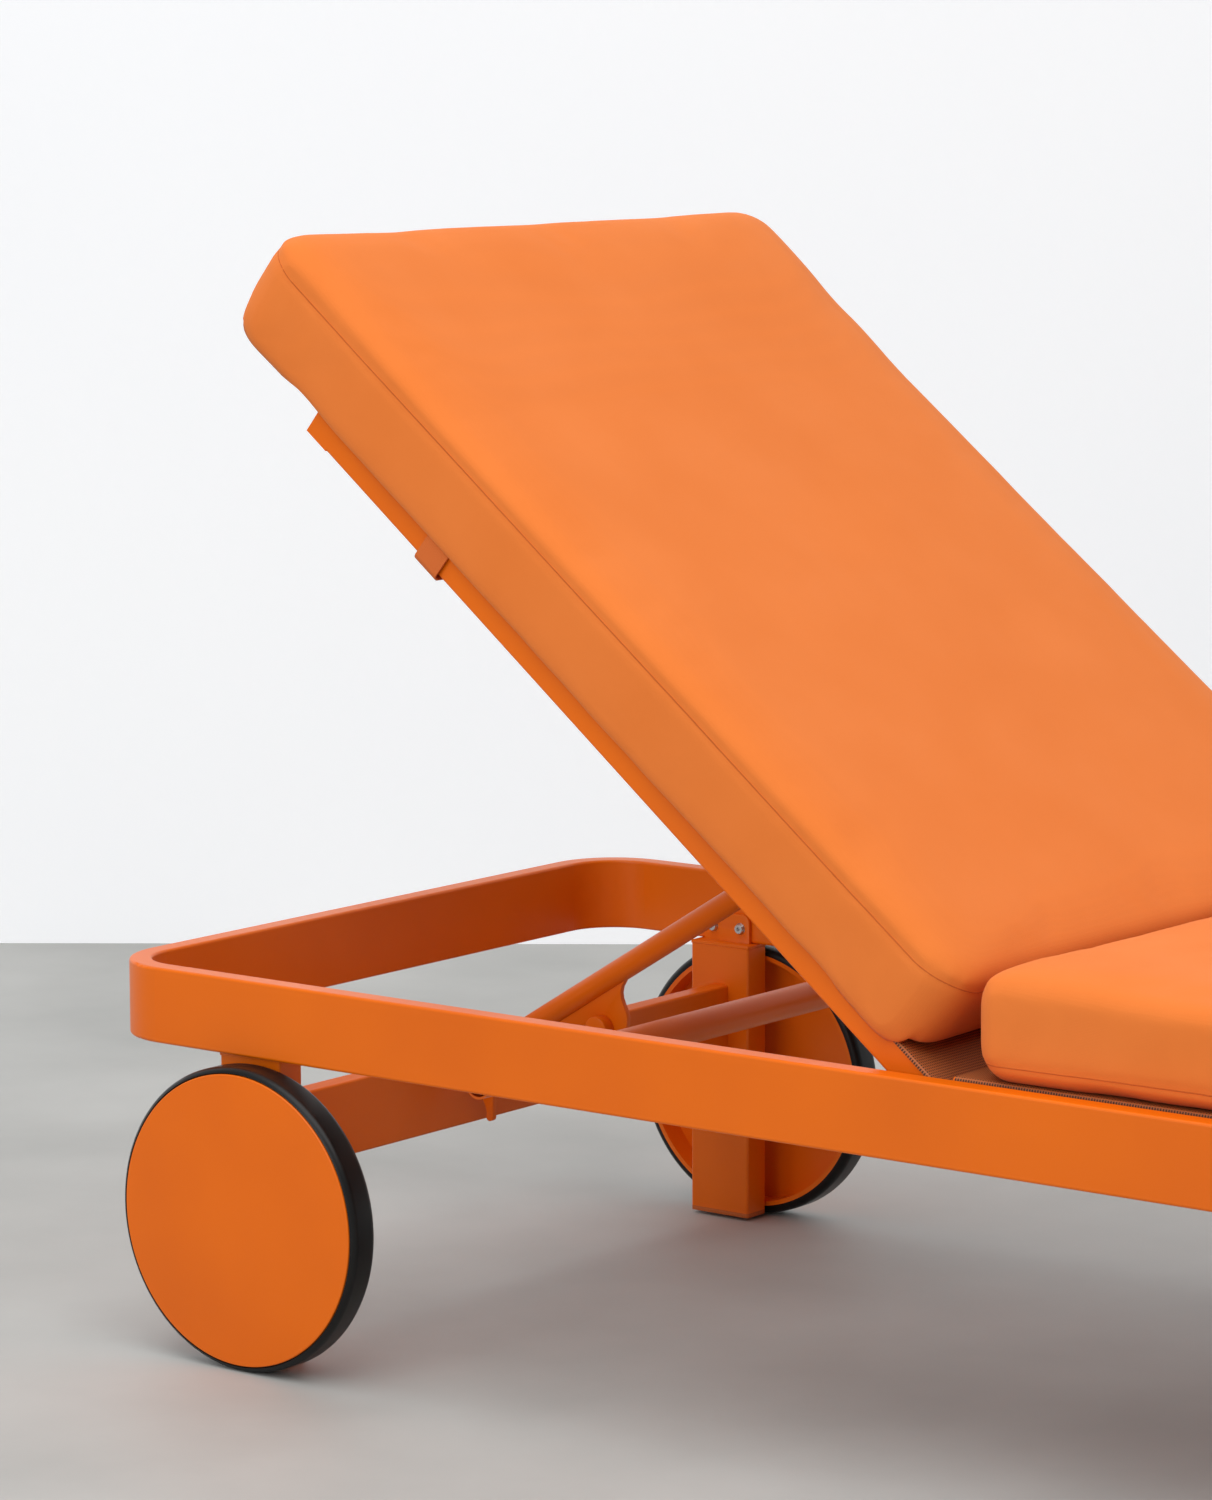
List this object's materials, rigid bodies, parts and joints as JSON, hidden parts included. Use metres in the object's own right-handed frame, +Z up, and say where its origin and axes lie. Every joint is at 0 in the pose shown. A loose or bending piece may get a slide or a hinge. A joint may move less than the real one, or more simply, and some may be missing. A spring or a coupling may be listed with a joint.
{
  "type": "reclining sun lounger",
  "caption": "Reclining outdoor lounger: tubular metal frame on legs, wheels at the head end, a hinged padded backrest held by a central prop strut, and a padded seat.",
  "frame": {"origin": "On the ground, at the middle of the lounger's box seen from above", "axes": "+Z up; +X from the head end with the wheels to the foot end; +Y to the left of someone lying on it"},
  "size_m": [1.96, 0.732, 0.9236],
  "materials": {
    "frame_paint": "fine satin powder coat",
    "cushion_fabric": "plain-woven outdoor fabric",
    "mesh_fabric": "open coated mesh",
    "tyre": "smooth matte",
    "steel": "satin",
    "bare_aluminium": "mill",
    "black_plastic": "matte",
    "orange_plastic": "matte"
  },
  "bodies": {
    "frame": {"head_frame": "frame_paint", "foot_frame": "frame_paint", "rail_joiners": "bare_aluminium", "leg_head_right": "frame_paint", "leg_head_left": "frame_paint", "leg_foot_right": "frame_paint", "leg_foot_left": "frame_paint", "bracket_head_right": "frame_paint", "bracket_head_left": "frame_paint", "bracket_foot_right": "frame_paint", "bracket_foot_left": "frame_paint", "glide_head_right": "orange_plastic", "glide_head_left": "orange_plastic", "glide_foot_right": "orange_plastic", "glide_foot_left": "orange_plastic", "leg_screws": "steel", "beam_head": "frame_paint", "beam_foot": "frame_paint", "prop_plate_right": "frame_paint", "prop_plate_left": "frame_paint", "prop_rod": "steel", "rod_collars": "frame_paint", "cross_tube": "frame_paint", "stop_right": "frame_paint", "stop_left": "frame_paint", "stop_pads": "black_plastic", "axle_right": "steel", "axle_left": "steel", "axle_nuts": "steel", "axle_washers": "steel", "hinge_bolts": "steel", "hinge_spacers": "steel", "seat_frame": "frame_paint", "seat_mesh": "mesh_fabric", "seat_spacers": "steel", "seat_screws": "steel", "seat_cushion": "cushion_fabric"},
    "wheel_right": {"wheel_core_right": "frame_paint", "wheel_cover_right": "frame_paint", "tyre_right": "tyre", "wheel_bush_right": "black_plastic"},
    "wheel_left": {"wheel_core_left": "frame_paint", "wheel_cover_left": "frame_paint", "tyre_left": "tyre", "wheel_bush_left": "black_plastic"},
    "backrest": {"back_frame": "frame_paint", "back_mesh": "mesh_fabric", "hinge_bushes": "black_plastic", "prop_lugs": "frame_paint", "prop_pin": "steel", "back_cushion": "cushion_fabric", "strap_right": "cushion_fabric", "strap_left": "cushion_fabric"},
    "prop": {"prop_tube": "frame_paint", "prop_hook": "frame_paint", "prop_grip": "frame_paint"}
  },
  "joints": [
    {"name": "backrest_recline", "type": "hinge", "parent": "frame", "child": "backrest", "pos_m": [-0.178, 0, 0.304], "axis": [0, 1, 0], "range_deg": [-38.7, 0]},
    {"name": "prop_swing", "type": "hinge", "parent": "backrest", "child": "prop", "pos_m": [-0.41027, 0, 0.46446], "axis": [0, 1, 0], "range_deg": [0, 70.5]},
    {"name": "wheel_right_spin", "type": "hinge", "parent": "frame", "child": "wheel_right", "pos_m": [-0.807, -0.35125, 0.125], "axis": [0, 1, 0], "continuous": true},
    {"name": "wheel_left_spin", "type": "hinge", "parent": "frame", "child": "wheel_left", "pos_m": [-0.807, 0.35125, 0.125], "axis": [0, 1, 0], "continuous": true}
  ],
  "couplings": [
    {"joint": "prop_swing", "follows": "backrest_recline", "ratio": -1.8}
  ]
}
